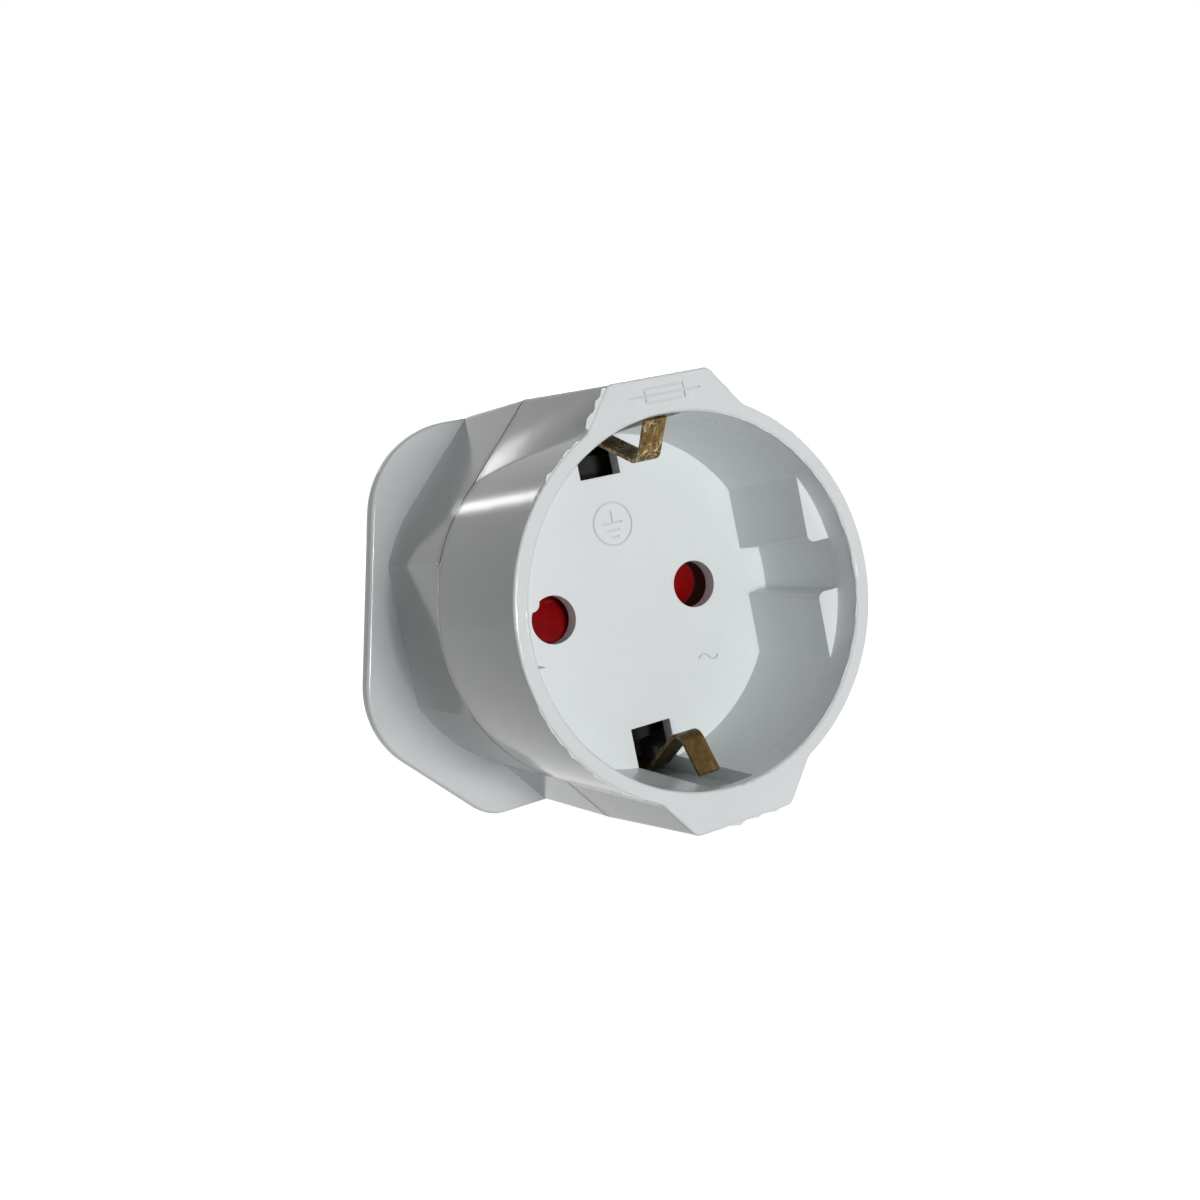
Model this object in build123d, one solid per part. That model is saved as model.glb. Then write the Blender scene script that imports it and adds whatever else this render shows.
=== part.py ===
from build123d import *
import os
from math import cos, radians, sin, tan

# Travel adapter: a UK fused plug at the back, a European earthed two-pin socket in front.
# Millimetres. +Z up (earth pin side), +X right seen from the socket,
# the socket mouth faces -Y, the plug pins point +Y. Origin: centre of the plug face.

# Lengths along Y
recess_depth = 17.5
socket_floor = 1.9          # thickness of the socket floor
skirt_depth = 2.3           # barrel wall behind the socket floor, up to the seam
rear_depth = 20.3           # seam to plug face
flange_thickness = 2.0      # edge of the plug base plate
plug_wall = 3.0             # plug face wall inside the body

# Socket barrel and recess
barrel_radius = 21.9
rim_wall = 1.7
recess_draft = 0.6          # how much smaller the recess is at its floor
skirt_wall = 2.0
rim_round = 0.35
seam_groove_width = 0.3     # groove between the two mouldings
seam_groove_depth = 0.35

# Tabs above and below the barrel
tab_rim_rise = 2.3          # height of a tab over the barrel at the rim
tab_seam_rise = 3.5         # the same at the seam and along the rear body
tab_rim_half_flat = 6.2
tab_seam_half_flat = 5.5
tab_rim_foot_deg = 27.5     # where a tab's sloping side meets the barrel, round from the top
upper_tab_foot_deg = 41.0   # the same at the seam, upper and lower tab
lower_tab_foot_deg = 28.0
tab_rim_sink = 0.3          # how far that foot lies under the barrel's surface
tab_seam_sink = 0.07
tab_blend = 2.0             # hollow blend between tab and barrel
tab_corner = 1.3
tab_side_deg = 45.0         # slope of the tabs' sides along the rear body

# Pin holes, earth slots and spring pockets
pin_pitch = 19.0
pin_hole_radius = 2.8
earth_slot_width = 5.3
earth_slot_reach = 4.8      # from the recess wall in towards the axis
pocket_skin = 0.5           # barrel wall left under a spring pocket
pocket_start = 1.2          # behind the rim

# Guide blocks at both sides of the recess
guide_rise = 2.8            # from the recess wall at the floor to a guide block's flat
guide_start = 3.5           # behind the rim
guide_slot = 5.5
guide_draft = 0.3           # how much further out the flat lies at a block's front
guide_slot_draft = 0.15     # how much wider the slot is there, at each side
guide_front_corner = 0.9
guide_back_corner = 0.1
guide_skin = 1.0            # barrel wall outside a block's root

# Signs sunk in the front faces; places in X and Z
sign_line = 0.25
sign_depth = 0.15
earth_sign_place = (0.3, 9.2)
earth_sign_radius = 2.5
earth_sign_stroke = 1.4     # from the longest bar up
earth_sign_bars = ((0.1, 1.3), (-0.75, 0.9), (-1.55, 0.55))    # height and half width
fuse_sign_place = (0.2, 22.3)
fuse_sign_size = (5.0, 1.7)
fuse_sign_reach = 4.4       # half of the line through the fuse
wave_sign_place = (9.5, -8.9)
wave_sign_arc = (1.35, 0.42)    # chord and rise of each of its two arcs

# Rear body
side_cut = 1.95             # how deep the flat sides cut into the round body
rear_wall = 1.8
lip_length = 1.5
lip_wall = 1.0
fit_gap = 0.1               # clearance between mouldings that locate each other

# Plug base plate outline, seen from behind
plate_step = 0.1            # from the tab's flat to the plate's end
plate_top_half = 18.2
plate_shoulder_half = 27.5
plate_shoulder_z = -10.9
plate_bottom_half = 13.7
plate_top_round = 12.5
plate_shoulder_round = 11.5
plate_bottom_round = 5.5
plate_edge_round = 0.5

# Plug pins
pin_row_half = 11.1         # half of both pin spacings
current_pin_width = 6.35
current_pin_height = 4.0
current_pin_length = 17.7
sleeve_length = 9.5
sleeve_wall = 0.6
earth_pin_width = 4.0
earth_pin_height = 8.0
earth_pin_length = 22.7
pin_tip_chamfer = 1.0
pin_slot_gap = 0.05         # around each pin in the plug face
shoulder_thickness = 2.0
shoulder_step = 1.4         # how far a shoulder stands out from its pin
pin_stem_radius = 2.3
pin_rivet_radius = 1.4
pin_rivet_head = 2.1
pin_rivet_head_height = 0.7

# Sheet brass
bar_thickness = 0.5
hole_gap = 0.03             # around a riveted stem
bar_end_radius = 2.6
contact_ring_radius = 3.9

# Pin contacts
contact_outer = 3.05
contact_inner = 2.42
contact_front_gap = 0.2
contact_slit = 0.7
contact_solid_end = 2.0
pin_way_gap = 0.3           # around a visiting pin, where it passes a bar

# Fuse and its carrier
fuse_length = 25.4
fuse_radius = 3.175
fuse_cap_length = 5.8
fuse_cap_wall = 0.3
fuse_gap = 0.35             # before and behind the fuse
carrier_plate = 1.6
carrier_end = 1.0           # carrier plate past the fuse, at each end
carrier_side = 0.2          # carrier plate past the cradle, at each side
carrier_gap = 0.15
cradle_end_gap = 1.3        # from the cradle to the fuse caps
cradle_wall = 1.0
cradle_gap = 0.4            # between fuse tube and cradle wall
catch_reach = 1.2
catch_height = 0.6
catch_hold = 0.9            # how far the catch comes round the fuse tube
saddle_half_length = 2.0
pry_notch_radius = 1.6
pry_notch_depth = 0.9
well_wall = 0.8
fuse_clip_length = 4.4
fuse_clip_gap = 0.03
fuse_clip_arm = 5.9
fuse_bar_root = 1.2
bar_slot_gap = 0.25

# Shutter, its cavity and its spring
cavity_depth = 4.0
shutter_front_gap = 0.3
shutter_back_gap = 0.4
shutter_pad_radius = 2.9
shutter_pad_lead = 1.0      # from a pin hole's centre in towards the axis
shutter_hub_radius = 3.6
shutter_arm_height = 3.8
shutter_ramp_deg = 20.0
pivot_radius = 1.6
pivot_gap = 0.05
spring_x = 4.4
spring_radius = 1.2
spring_wire = 0.22
spring_turns = 4
spring_gap = 0.2
spring_length = 8.0         # from the shutter's arm to the seat
spring_seat_size = (4.4, 1.2)

# Contact carrier
carrier_disc_gap = 2.4      # from the carrier's edge out to the earth clips' legs
carrier_disc = 1.5
tower_wall = 0.85
tower_gap = 0.2
tower_length = 4.6
post_radius = 1.3
post_angle = 42.0
post_edge = 0.3             # from a post to the carrier's edge

# Earth strap, earth clips and rivets
strap_gap = 1.5             # from the fuse clips' front to the strap
strap_thickness = 1.0
strap_width = 6.0
strap_end = 0.6             # strap past the clip's leg
clip_width = 2.7
clip_thickness = 0.45
clip_pocket_gap = 1.2       # from the pocket's bottom to the clip's straight leg
clip_foot_bend = 0.8
clip_touch_bend = 1.7
clip_foot_length = 4.4
upper_clip_touch = (5.9, 4.4)    # behind the rim, in from the leg: corner under the contact bend
upper_clip_end = (2.6, 0.0)
lower_clip_touch = (8.9, 5.3)
lower_clip_end = (5.9, 0.5)
clip_slope_start = 0.4      # behind the front of the socket floor
clip_rivet_radius = 1.0
clip_rivet_head = 1.5
clip_rivet_head_height = 0.5
clip_rivet_inset = 2.6      # from the clip's leg

# Case screws, their columns and bosses
screw_height = 6.5
screw_radius = 1.45
screw_length = 16.0
screw_head_radius = 2.7
screw_head_height = 1.9
screw_seat = 3.2            # from the plug face
screw_hole_gap = 0.15
screw_bite = 0.06           # thread hidden in the boss
screw_slot = (0.8, 0.7)
boss_radius = 2.6
boss_side_gap = 0.15        # from a boss to the rear body's side wall
column_radius = 3.8
column_length = 13.0        # from the plug face
boss_end_gap = 0.1
boss_floor = 1.0

# Sizes and places that follow
shell_depth = recess_depth + socket_floor + skirt_depth
body_depth = shell_depth + rear_depth
rim_y = -body_depth
floor_y = rim_y + recess_depth
floor_back_y = floor_y + socket_floor
seam_y = -rear_depth
carrier_front_y = floor_back_y + cavity_depth
carrier_back_y = carrier_front_y + carrier_disc

mouth_radius = barrel_radius - rim_wall
floor_radius = mouth_radius - recess_draft
skirt_radius = barrel_radius - skirt_wall
tab_rim_height = barrel_radius + tab_rim_rise
tab_seam_height = barrel_radius + tab_seam_rise
tab_corner_reach = tab_corner * tan(radians(tab_side_deg / 2))
side_flat = barrel_radius - side_cut
guide_flat = floor_radius - guide_rise
pocket_height = barrel_radius - pocket_skin
earth_slot_inner = floor_radius - earth_slot_reach
plate_half_height = tab_seam_height - plate_step

fuse_end_z = fuse_length / 2
fuse_z = (pin_row_half - earth_pin_height / 2 - plate_half_height) / 2
fuse_tube_radius = fuse_radius - fuse_cap_wall - hole_gap
cradle_inner = fuse_radius - fuse_cap_wall + cradle_gap
carrier_half_width = cradle_inner + cradle_wall + carrier_side
carrier_half_length = fuse_end_z + carrier_end
cradle_half_length = fuse_end_z - fuse_cap_length - cradle_end_gap
fuse_depth = carrier_plate + fuse_gap + fuse_radius
bar_depth = fuse_depth + fuse_radius + fuse_gap + bar_thickness
well_depth = bar_depth + well_wall
strap_depth = bar_depth + strap_gap

clip_leg = pocket_height - clip_pocket_gap - clip_thickness / 2
clip_foot_inner = clip_leg - clip_foot_length
clip_rivet_z = clip_leg - clip_rivet_inset
strap_reach = clip_leg + strap_end
carrier_disc_radius = clip_leg - carrier_disc_gap
shutter_pad_offset = pin_pitch / 2 - shutter_pad_lead
spring_seat_z = shutter_arm_height / 2 + spring_length
screw_x = side_flat - rear_wall - boss_side_gap - boss_radius
pin_way_radius = contact_inner + pin_way_gap
post_ring = carrier_disc_radius - post_edge - post_radius
far = 3 * barrel_radius     # longer than the whole adapter, for cutting tools


def between(sketch, y_front, y_back):
    """A sketch in X and Z, made solid from y_front back to y_back."""
    return extrude(Plane.XZ.offset(-y_back) * sketch, amount=y_back - y_front, dir=(0, -1, 0))


def cone_between(front_radius, back_radius, y_front, y_back):
    """A cone about the Y axis."""
    cone = Cone(back_radius, front_radius, y_back - y_front)
    return Pos(0, (y_front + y_back) / 2, 0) * Rot(X=90) * cone


def box_between(x, y, z):
    """A box from its lowest and highest X, Y and Z."""
    size = [high - low for low, high in (x, y, z)]
    middle = [(high + low) / 2 for low, high in (x, y, z)]
    return Pos(*middle) * Box(*size)


def spot(x, z, sketch):
    """A sketch moved to a place in X and Z."""
    return Pos(x, z) * sketch


def mirrored_up_down(solid):
    return solid + mirror(solid, about=Plane.XY)


def edges_at(solid, y):
    """Edges that lie wholly at one place along Y."""
    return [
        edge
        for edge in solid.edges()
        if abs(edge.bounding_box().min.Y - y) < 1e-4 and abs(edge.bounding_box().max.Y - y) < 1e-4
    ]


def tab_outline(height, half_flat, foot_deg, sink, radius=barrel_radius):
    """Flat-topped tab with sloping sides that end just under the surface of the round body."""
    foot_x = (radius - sink) * sin(radians(foot_deg))
    foot_z = (radius - sink) * cos(radians(foot_deg))
    outline = Polygon(
        (-half_flat, height),
        (half_flat, height),
        (foot_x, foot_z),
        (0, 0),
        (-foot_x, foot_z),
        align=None,
    )
    corners = [v for v in outline.vertices() if abs(v.Y - height) < 0.01]
    return fillet(corners, tab_corner)


def tab_block(seam_foot_deg):
    """A tab on the top side, which grows a little from the rim to the seam."""
    front = tab_outline(tab_rim_height, tab_rim_half_flat, tab_rim_foot_deg, tab_rim_sink)
    back = tab_outline(tab_seam_height, tab_seam_half_flat, seam_foot_deg, tab_seam_sink)
    front = Plane.XZ.offset(-rim_y) * front
    back = Plane.XZ.offset(-seam_y) * back
    return loft([front, back], ruled=True)


def tab_blend_edges(solid):
    """The four hollow edges between the tabs and the barrel."""
    low = barrel_radius - 0.4
    high = barrel_radius + 0.4
    found = []
    for edge in solid.edges():
        ends = edge.bounding_box()
        runs_along = ends.max.Y - ends.min.Y > shell_depth * 0.8
        middle = edge @ 0.5
        reach = (middle.X ** 2 + middle.Z ** 2) ** 0.5
        if runs_along and low < reach < high:
            found.append(edge)
    return found


def earth_openings():
    """Slots in the socket floor with the spring pockets in front of and behind them."""
    half = earth_slot_width / 2
    slot = box_between((-half, half), (floor_y - 1, floor_back_y + 1), (earth_slot_inner, pocket_height))
    pocket = box_between(
        (-half, half), (rim_y + pocket_start, seam_y + lip_length + 1), (floor_radius - 2.0, pocket_height)
    )
    pocket -= between(Circle(floor_radius - 0.3), floor_y, floor_back_y)
    return mirrored_up_down(slot + pocket)


def guide_section(flat, slot_half, corner):
    """Section of the block above the slot, with its root inside the barrel wall."""
    root = barrel_radius - guide_skin
    block = Polygon(
        (flat, slot_half), (root, slot_half), (root, floor_radius), (flat, floor_radius), align=None
    )
    return fillet(block.vertices().sort_by_distance((flat, slot_half))[0], corner)


def guide_blocks():
    """Two blocks with a slot between them at each side of the recess, narrower to the front."""
    front_y = rim_y + guide_start
    back_y = floor_y + socket_floor / 2
    front = guide_section(
        guide_flat + guide_draft, guide_slot / 2 + guide_slot_draft, guide_front_corner
    )
    back = guide_section(guide_flat, guide_slot / 2, guide_back_corner)
    block = loft([Plane.XZ.offset(-front_y) * front, Plane.XZ.offset(-back_y) * back], ruled=True)
    block &= between(Circle(barrel_radius - guide_skin), front_y, back_y)
    pair = mirrored_up_down(block)
    return pair + mirror(pair, about=Plane.YZ)


def earth_sign():
    """A ring round a stroke that stands on three shortening bars."""
    sign = Circle(earth_sign_radius + sign_line / 2) - Circle(earth_sign_radius - sign_line / 2)
    stroke_foot = earth_sign_bars[0][0]
    stroke = Rectangle(sign_line, earth_sign_stroke, align=(Align.CENTER, Align.MIN))
    sign += spot(0, stroke_foot, stroke)
    for height, half_width in earth_sign_bars:
        sign += spot(0, height, Rectangle(2 * half_width, sign_line))
    return spot(*earth_sign_place, sign)


def fuse_sign():
    """A box with a line through its length."""
    width, height = fuse_sign_size
    sign = Rectangle(width, height) - Rectangle(width - 2 * sign_line, height - 2 * sign_line)
    sign += Rectangle(2 * fuse_sign_reach, sign_line)
    return spot(*fuse_sign_place, sign)


def wave_sign():
    """One alternating wave."""
    chord, rise = wave_sign_arc
    wave = ThreePointArc((-chord, 0), (-chord / 2, rise), (0, 0))
    wave += ThreePointArc((0, 0), (chord / 2, -rise), (chord, 0))
    return spot(*wave_sign_place, trace(wave, sign_line))


def screw_bosses():
    """Bosses behind the socket floor, for the case screws."""
    bosses = Part()
    for side in (-1, 1):
        x = side * screw_x
        bosses += between(
            spot(x, screw_height, Circle(boss_radius)), floor_back_y - 0.5, -column_length - boss_end_gap
        )
    return bosses


def screw_pilots():
    pilots = Part()
    for side in (-1, 1):
        place = spot(side * screw_x, screw_height, Circle(screw_radius - screw_bite))
        pilots += between(place, floor_back_y + boss_floor, 0)
    return pilots


def joint_lip():
    """Thin lip behind the seam that drops into the rear housing."""
    outer = barrel_radius - rear_wall - fit_gap
    ring = Circle(outer) - Circle(outer - lip_wall)
    half = side_flat - rear_wall - fit_gap
    ring &= Rectangle(2 * half, 2 * far)
    return between(ring, seam_y - 0.5, seam_y + lip_length)


def socket_shell():
    barrel = between(Circle(barrel_radius), rim_y, seam_y)
    shell = barrel + tab_block(upper_tab_foot_deg)
    shell += mirror(tab_block(lower_tab_foot_deg), about=Plane.XY)
    shell = fillet(tab_blend_edges(shell), tab_blend)
    shell -= cone_between(mouth_radius, floor_radius, rim_y, floor_y)
    shell = fillet(
        [edge for edge in edges_at(shell, rim_y) if edge.length > 1.0], rim_round
    )
    shell -= between(Circle(skirt_radius), floor_back_y, seam_y)
    shell += guide_blocks()
    shell += joint_lip()
    shell += screw_bosses()
    shell -= screw_pilots()
    shell -= earth_openings()
    for side in (-1, 1):
        hole = spot(side * pin_pitch / 2, 0, Circle(pin_hole_radius))
        shell -= between(hole, floor_y - 1, floor_back_y + 1)
    for sign, face_y in ((earth_sign(), floor_y), (wave_sign(), floor_y), (fuse_sign(), rim_y)):
        shell -= between(sign, face_y - sign_depth, face_y + sign_depth)
    return shell


def rear_section(inset=0.0):
    """Section of the rear body: round with flat sides, a tangent tab above, a narrow one below."""
    radius = barrel_radius - inset
    height = tab_seam_height - inset
    half_flat = tab_seam_half_flat - inset * tan(radians(tab_side_deg / 2))
    edges = [*Circle(radius).edges()]
    for x in (tab_corner_reach - half_flat, half_flat - tab_corner_reach):
        edges += spot(x, height - tab_corner, Circle(tab_corner)).edges()
    outline = make_hull(edges)
    lower_tab = tab_outline(height, half_flat, lower_tab_foot_deg, tab_seam_sink, radius)
    outline += mirror(lower_tab, about=Plane.XZ)
    return outline & Rectangle(2 * (side_flat - inset), 2 * far)


def plate_outline():
    """Outline of the plug base plate: wide at the current pins, narrow at the earth pin."""
    right = [
        (plate_top_half, plate_half_height),
        (plate_shoulder_half, plate_shoulder_z),
        (plate_bottom_half, -plate_half_height),
    ]
    left = [(-x, z) for x, z in reversed(right)]
    plate = Polygon(*right, *left, align=None)
    rounds = (
        (plate_half_height, plate_top_round),
        (plate_shoulder_z, plate_shoulder_round),
        (-plate_half_height, plate_bottom_round),
    )
    for height, radius in rounds:
        corners = [v for v in plate.vertices() if abs(v.Y - height) < 0.01]
        plate = fillet(corners, radius)
    return plate


def well_outline(grow=0.0):
    """Outline of the fuse well, centred on the fuse."""
    width = 2 * (carrier_half_width + carrier_gap + grow)
    length = 2 * (carrier_half_length + carrier_gap + grow)
    return spot(0, fuse_z, Rectangle(width, length))


def pin_slot(width, height):
    return Rectangle(width + 2 * pin_slot_gap, height + 2 * pin_slot_gap)


def line_bar_outline(grow=0.0):
    """Strap from the lower fuse clip out to the live pin."""
    root_z = fuse_z - fuse_end_z + fuse_cap_length / 2
    return bar_outline(root_z, (pin_row_half, -pin_row_half), bar_end_radius, grow)


def load_bar_outline(grow=0.0):
    """Strap from the upper fuse clip out to the live contact."""
    root_z = fuse_z + fuse_end_z - fuse_cap_length / 2
    return bar_outline(root_z, (pin_pitch / 2, 0), contact_ring_radius, grow)


def bar_outline(root_z, end, end_radius, grow):
    width = bar_thickness + fuse_bar_root
    root = Rectangle(width + 2 * grow, fuse_clip_length + 2 * grow)
    root = spot(fuse_radius + fuse_clip_gap + width / 2, root_z, root)
    return make_hull(root.edges() + spot(*end, Circle(end_radius + grow)).edges())


def rear_housing():
    groove_back = seam_y + seam_groove_width
    body = between(rear_section(seam_groove_depth), seam_y, groove_back)
    body += between(rear_section(), groove_back, -flange_thickness)
    plate = between(plate_outline(), -flange_thickness, 0)
    plate = fillet(edges_at(plate, -flange_thickness) + edges_at(plate, 0), plate_edge_round)
    body += plate
    body -= between(rear_section(rear_wall), seam_y, -plug_wall)
    inside = rear_section(rear_wall / 2)
    for side in (-1, 1):
        column = spot(side * screw_x, screw_height, Circle(column_radius))
        body += between(column & inside, -column_length, -plug_wall + 0.5)
    body += between(well_outline(well_wall), -well_depth, -plug_wall + 0.5)
    body -= between(well_outline(), -well_depth + well_wall, 0)
    slot_front = -bar_depth - bar_slot_gap
    slot_back = -bar_depth + bar_thickness + bar_slot_gap
    for strap in (line_bar_outline(bar_slot_gap), load_bar_outline(bar_slot_gap)):
        body -= between(strap & well_outline(well_wall + bar_slot_gap), slot_front, slot_back)
    for side in (-1, 1):
        slot = pin_slot(current_pin_width, current_pin_height)
        body -= between(spot(side * pin_row_half, -pin_row_half, slot), -plug_wall - 1, 1)
        x = side * screw_x
        body -= between(
            spot(x, screw_height, Circle(screw_radius + screw_hole_gap)), -column_length - 1, 1
        )
        body -= between(
            spot(x, screw_height, Circle(screw_head_radius + screw_hole_gap)), -screw_seat, 1
        )
    slot = pin_slot(earth_pin_width, earth_pin_height)
    body -= between(spot(0, pin_row_half, slot), -plug_wall - 1, 1)
    return body


def pin_stem(x, z, front_y, thickness):
    """Round stem behind a pin's shoulder, riveted over a flat bar."""
    back = -plug_wall - shoulder_thickness
    stem = between(spot(x, z, Circle(pin_stem_radius)), front_y + thickness, back)
    stem += between(spot(x, z, Circle(pin_rivet_radius)), front_y, front_y + thickness)
    head_front = front_y - pin_rivet_head_height
    stem += between(spot(x, z, Circle(pin_rivet_head)), head_front, front_y)
    return stem


def current_pin(side):
    """Live or neutral pin: bare tip, necked under its sleeve, with a shoulder inside."""
    x = side * pin_row_half
    z = -pin_row_half
    full = Rectangle(current_pin_width, current_pin_height)
    neck = Rectangle(current_pin_width - 2 * sleeve_wall, current_pin_height - 2 * sleeve_wall)
    tip = between(spot(x, z, full), sleeve_length, current_pin_length)
    tip = chamfer(edges_at(tip, current_pin_length), pin_tip_chamfer)
    pin = tip + between(spot(x, z, neck), -plug_wall, sleeve_length)
    shoulder = Rectangle(current_pin_width + 2 * shoulder_step, current_pin_height + 2 * shoulder_step)
    shoulder = spot(x, z, shoulder) & rear_section(rear_wall + fit_gap)
    pin += between(shoulder, -plug_wall - shoulder_thickness, -plug_wall)
    return pin + pin_stem(x, z, -bar_depth, bar_thickness)


def current_pin_sleeve(side):
    """Insulating sleeve, flush with the bare tip."""
    full = Rectangle(current_pin_width, current_pin_height)
    neck = Rectangle(current_pin_width - 2 * sleeve_wall, current_pin_height - 2 * sleeve_wall)
    return between(spot(side * pin_row_half, -pin_row_half, full - neck), -plug_wall, sleeve_length)


def earth_pin():
    section = Rectangle(earth_pin_width, earth_pin_height)
    pin = between(spot(0, pin_row_half, section), -plug_wall, earth_pin_length)
    pin = chamfer(edges_at(pin, earth_pin_length), pin_tip_chamfer)
    shoulder = spot(0, pin_row_half, Rectangle(earth_pin_width + 2 * shoulder_step, earth_pin_height))
    pin += between(shoulder, -plug_wall - shoulder_thickness, -plug_wall)
    return pin + pin_stem(0, pin_row_half, -strap_depth - strap_thickness, strap_thickness)


def pin_contact(side):
    """Split brass tube that grips a visiting pin; its solid end stands on a bar."""
    front = carrier_back_y + contact_front_gap
    x = side * pin_pitch / 2
    tube = between(spot(x, 0, Circle(contact_outer) - Circle(contact_inner)), front, -bar_depth)
    slit = spot(x, 0, Rectangle(3 * contact_outer, contact_slit))
    return tube - between(slit, front, -bar_depth - contact_solid_end)


def neutral_bar():
    pin_end = spot(-pin_row_half, -pin_row_half, Circle(bar_end_radius))
    contact_end = spot(-pin_pitch / 2, 0, Circle(contact_ring_radius))
    bar = make_hull(pin_end.edges() + contact_end.edges())
    bar -= spot(-pin_row_half, -pin_row_half, Circle(pin_rivet_radius + hole_gap))
    bar -= spot(-pin_pitch / 2, 0, Circle(pin_way_radius))
    return between(bar, -bar_depth, -bar_depth + bar_thickness)


def fuse_clip(middle_z, bar):
    """U-shaped clip round a fuse cap, in one piece with its bar."""
    inner = fuse_radius + fuse_clip_gap
    outer = inner + bar_thickness
    z = (middle_z - fuse_clip_length / 2, middle_z + fuse_clip_length / 2)
    back = -bar_depth + bar_thickness
    clip = box_between((-outer, outer), (-bar_depth, back), z)
    for side in (-1, 1):
        x = sorted((side * inner, side * outer))
        clip += box_between(x, (-bar_depth, -bar_depth + fuse_clip_arm), z)
    return clip + between(bar, -bar_depth, back)


def line_fuse_clip():
    bar = line_bar_outline() - spot(pin_row_half, -pin_row_half, Circle(pin_rivet_radius + hole_gap))
    return fuse_clip(fuse_z - fuse_end_z + fuse_cap_length / 2, bar)


def load_fuse_clip():
    bar = load_bar_outline() - spot(pin_pitch / 2, 0, Circle(pin_way_radius))
    return fuse_clip(fuse_z + fuse_end_z - fuse_cap_length / 2, bar)


def upright_cylinder(radius, low, high):
    """A cylinder along the fuse axis, from low to high about the fuse's middle."""
    return Pos(0, -fuse_depth, fuse_z + (low + high) / 2) * Cylinder(radius, high - low)


def fuse_tube():
    """Ceramic tube, its ends inside the caps."""
    end = fuse_end_z - fuse_cap_wall
    return upright_cylinder(fuse_tube_radius, -end, end)


def fuse_cap(side):
    high = side * fuse_end_z
    low = side * (fuse_end_z - fuse_cap_length)
    cap = upright_cylinder(fuse_radius, *sorted((low, high)))
    hollow = upright_cylinder(fuse_radius - fuse_cap_wall, *sorted((low, high - side * fuse_cap_wall)))
    return cap - hollow


def fuse_carrier():
    """Drawer in the plug face: a flush plate with a snap cradle round the fuse tube."""
    plate = spot(0, fuse_z, Rectangle(2 * carrier_half_width, 2 * carrier_half_length))
    carrier = between(plate, -carrier_plate, 0)
    inner = cradle_inner
    z = (fuse_z - cradle_half_length, fuse_z + cradle_half_length)
    catch_back = -fuse_depth - fuse_radius + fuse_cap_wall + catch_hold
    catch_front = catch_back - catch_height
    for side in (-1, 1):
        wall = sorted((side * inner, side * (inner + cradle_wall)))
        catch = sorted((side * inner, side * (inner - catch_reach)))
        carrier += box_between(wall, (catch_front, -carrier_plate + 0.2), z)
        carrier += box_between(catch, (catch_front, catch_back), z)
    saddle = (fuse_z - saddle_half_length, fuse_z + saddle_half_length)
    saddle_front = -fuse_depth + fuse_radius - fuse_cap_wall
    carrier += box_between((-inner, inner), (saddle_front, -carrier_plate + 0.2), saddle)
    notch_z = fuse_z - carrier_half_length
    notch = between(spot(0, notch_z, Circle(pry_notch_radius)), -pry_notch_depth, 1)
    return carrier - notch


def shutter_pad(side):
    """A round pad whose front is a ramp, so that an entering pin pushes it aside."""
    front = floor_back_y + shutter_front_gap
    back = carrier_front_y - shutter_back_gap
    x = side * shutter_pad_offset
    pad = between(spot(x, 0, Circle(shutter_pad_radius)), front, back)
    cutter = Pos(x, front, side * shutter_pad_radius) * Rot(X=side * shutter_ramp_deg)
    cutter *= Pos(0, -5, 0) * Box(10, 10, 30)
    return pad - cutter


def shutter():
    front = floor_back_y + shutter_front_gap
    back = carrier_front_y - shutter_back_gap
    arm = Rectangle(2 * shutter_pad_offset, shutter_arm_height) + Circle(shutter_hub_radius)
    arm_front = back - (back - front) * 0.5
    body = between(arm, arm_front, back) + between(Circle(shutter_hub_radius), front, back)
    for side in (-1, 1):
        body += shutter_pad(side)
    return body - between(Circle(pivot_radius + pivot_gap), front - 1, back + 1)


def shutter_spring():
    """Coil spring from the shutter's arm up to its seat on the contact carrier."""
    low = shutter_arm_height / 2 + spring_gap + spring_wire
    high = spring_seat_z - spring_gap - spring_wire
    coil = Helix(pitch=(high - low) / spring_turns, height=high - low, radius=spring_radius)
    wire = Plane(origin=coil @ 0, z_dir=coil % 0) * Circle(spring_wire)
    y = carrier_front_y - shutter_back_gap - spring_radius - spring_wire
    return Pos(spring_x, y, low) * sweep(wire, path=coil)


def contact_carrier():
    """Inner disc: pivot and spring seat in front, towers for the contacts behind."""
    disc = between(Circle(carrier_disc_radius), carrier_front_y, carrier_back_y)
    disc += between(Circle(pivot_radius), floor_back_y + fit_gap, carrier_front_y)
    seat = spot(spring_x, spring_seat_z + spring_seat_size[1] / 2, Rectangle(*spring_seat_size))
    disc += between(seat, floor_back_y + shutter_front_gap, carrier_front_y)
    for side in (-1, 1):
        x = side * pin_pitch / 2
        bore = contact_outer + tower_gap
        tower = Circle(bore + tower_wall) - Circle(bore)
        disc += between(spot(x, 0, tower), carrier_back_y, carrier_back_y + tower_length)
        disc -= between(spot(x, 0, Circle(pin_hole_radius)), carrier_front_y - 1, carrier_back_y)
        clear = spot(side * screw_x, screw_height, Circle(boss_radius + fit_gap))
        disc -= between(clear, carrier_front_y - 1, carrier_back_y + 1)
        for up in (-1, 1):
            post_x = side * post_ring * cos(radians(post_angle))
            post_z = up * post_ring * sin(radians(post_angle))
            post = spot(post_x, post_z, Circle(post_radius))
            disc += between(post, floor_back_y, carrier_front_y)
    return disc


def earth_strap():
    strap = Rectangle(strap_width, 2 * strap_reach)
    strap -= spot(0, pin_row_half, Circle(pin_rivet_radius + hole_gap))
    for up in (-1, 1):
        strap -= spot(0, up * clip_rivet_z, Circle(clip_rivet_radius + hole_gap))
    return between(strap, -strap_depth - strap_thickness, -strap_depth)


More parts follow.
